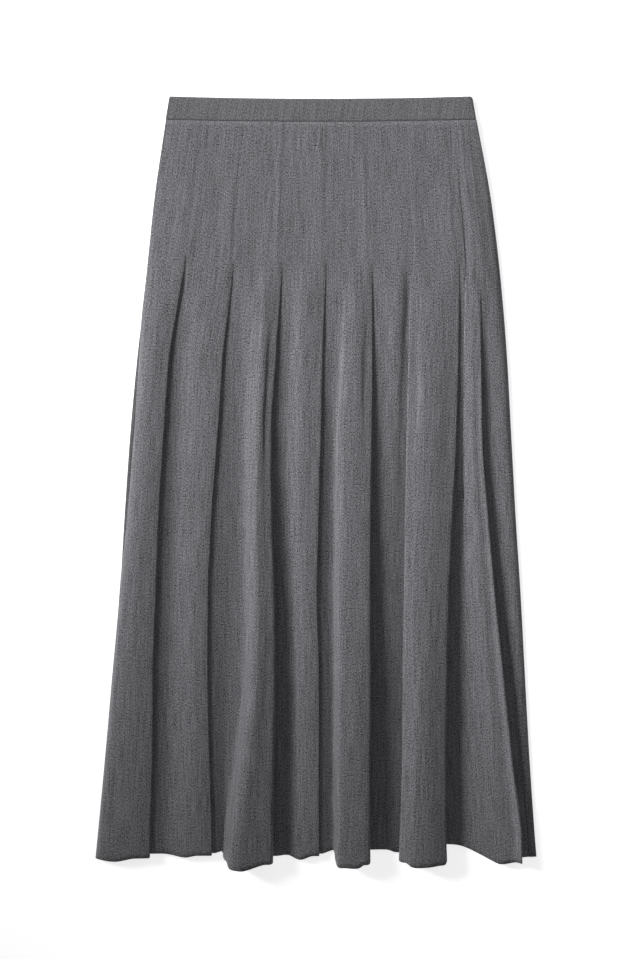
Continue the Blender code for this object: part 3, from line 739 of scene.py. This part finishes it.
def zip_tape(name):
    """Woven tape: fine twill ribs on a slant and small flecks, a little more shine than the cloth."""
    look = bpy.data.materials.new(name)
    look.use_nodes = True
    tree = look.node_tree
    shader = tree.nodes["Principled BSDF"]
    place = node(tree, "ShaderNodeTexCoord")
    slant = node(tree, "ShaderNodeMapping")
    slant.inputs["Rotation"].default_value = (0, 0, TAPE_TWILL)
    tree.links.new(place.outputs["Object"], slant.inputs["Vector"])
    ribs = node(tree, "ShaderNodeTexWave", wave_type="BANDS", bands_direction="X")
    ribs.inputs["Scale"].default_value = TAPE_RIBS
    ribs.inputs["Distortion"].default_value = TAPE_WANDER
    tree.links.new(slant.outputs["Vector"], ribs.inputs["Vector"])
    fleck = node(tree, "ShaderNodeTexNoise")
    fleck.inputs["Scale"].default_value = TAPE_FLECK
    fleck.inputs["Detail"].default_value = TAPE_FLECK_DETAIL
    tree.links.new(place.outputs["Object"], fleck.inputs["Vector"])
    value = weighted_sum(tree, [
        (ribs.outputs["Fac"], TAPE_RIB_WEIGHT), (fleck.outputs["Fac"], TAPE_FLECK_WEIGHT),
    ])
    tint = node(tree, "ShaderNodeVectorMath", operation="SCALE")
    tint.inputs["Vector"].default_value = TAPE_COLOUR
    tree.links.new(value, tint.inputs["Scale"])
    tree.links.new(tint.outputs["Vector"], shader.inputs["Base Color"])
    bump = node(tree, "ShaderNodeBump")
    bump.inputs["Strength"].default_value = TAPE_BUMP
    bump.inputs["Distance"].default_value = TAPE_HEIGHT
    tree.links.new(value, bump.inputs["Height"])
    tree.links.new(bump.outputs["Normal"], shader.inputs["Normal"])
    shader.inputs["Roughness"].default_value = TAPE_ROUGHNESS
    return look


def flat_look(name, colour, glow):
    """A matt look that also glows a little, so that the floor stays near white."""
    look = bpy.data.materials.new(name)
    look.use_nodes = True
    shader = look.node_tree.nodes["Principled BSDF"]
    shader.inputs["Base Color"].default_value = (*colour, 1)
    shader.inputs["Roughness"].default_value = FLOOR_ROUGHNESS
    shader.inputs["Emission Color"].default_value = WHITE
    shader.inputs["Emission Strength"].default_value = glow
    return look


def soft_light(name, place, target, size, power, spread):
    """A square area light that looks at its target."""
    lamp = bpy.data.lights.new(name, "AREA")
    lamp.spread = math.radians(spread)
    lamp.shape = "SQUARE"
    lamp.size = size
    lamp.energy = power
    made = bpy.data.objects.new(name, lamp)
    made.location = place
    made.rotation_euler = (Vector(target) - Vector(place)).to_track_quat("-Z", "Y").to_euler()
    bpy.context.scene.collection.objects.link(made)


front_look = suiting("front_suiting", CLOTH_COLOUR, 1.0)
# The back's look is a painted-shade copy of the front's suiting: the same weave with a darker colour
back_shaded_look = suiting("back_shaded_suiting", BACK_SHADED_COLOUR, 1.0)
band_look = suiting("band_suiting", BAND_COLOUR, BAND_CONTRAST)

front = make_front([front_look])
back = make_back([back_shaded_look])
band = make_band([band_look])
for piece, solid, name in (
    (front, "front_skirt", "front_cloth"),
    (back, "back_skirt", "back_cloth"),
    (band, "waistband", "band_cloth"),
):
    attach(piece, "root")
    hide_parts(solid)

tape_look = zip_tape("zip_tape")
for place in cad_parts["side_zip"].material_slots:
    place.link = "OBJECT"
    place.material = tape_look

floor_mesh = bpy.data.meshes.new("floor")
floor_corners = [
    (x * FLOOR_HALF, y * FLOOR_HALF, FLOOR_HEIGHT) for x, y in ((-1, -1), (1, -1), (1, 1), (-1, 1))
]
floor_mesh.from_pydata(floor_corners, [], [(0, 1, 2, 3)])
floor_mesh.materials.append(flat_look("floor_white", FLOOR_COLOUR, FLOOR_GLOW))
floor = bpy.data.objects.new("floor", floor_mesh)
bpy.context.scene.collection.objects.link(floor)

world = bpy.data.worlds.new("studio")
bpy.context.scene.world = world
world.use_nodes = True
world.node_tree.nodes["Background"].inputs["Color"].default_value = WHITE
world.node_tree.nodes["Background"].inputs["Strength"].default_value = WORLD_STRENGTH

for name, light in LIGHTS.items():
    soft_light(name, **light)

camera_data = bpy.data.cameras.new("camera")
camera_data.sensor_width = SENSOR
camera_data.lens = SENSOR * CAMERA_HEIGHT / (PHOTO_HIGH * MM_PER_PIXEL * MM)
camera = bpy.data.objects.new("camera", camera_data)
camera.location = (CENTRE_SHIFT_X * MM, CENTRE_SHIFT_Y * MM, CAMERA_HEIGHT)
bpy.context.scene.collection.objects.link(camera)
bpy.context.scene.camera = camera
bpy.context.scene.view_settings.view_transform = "Standard"
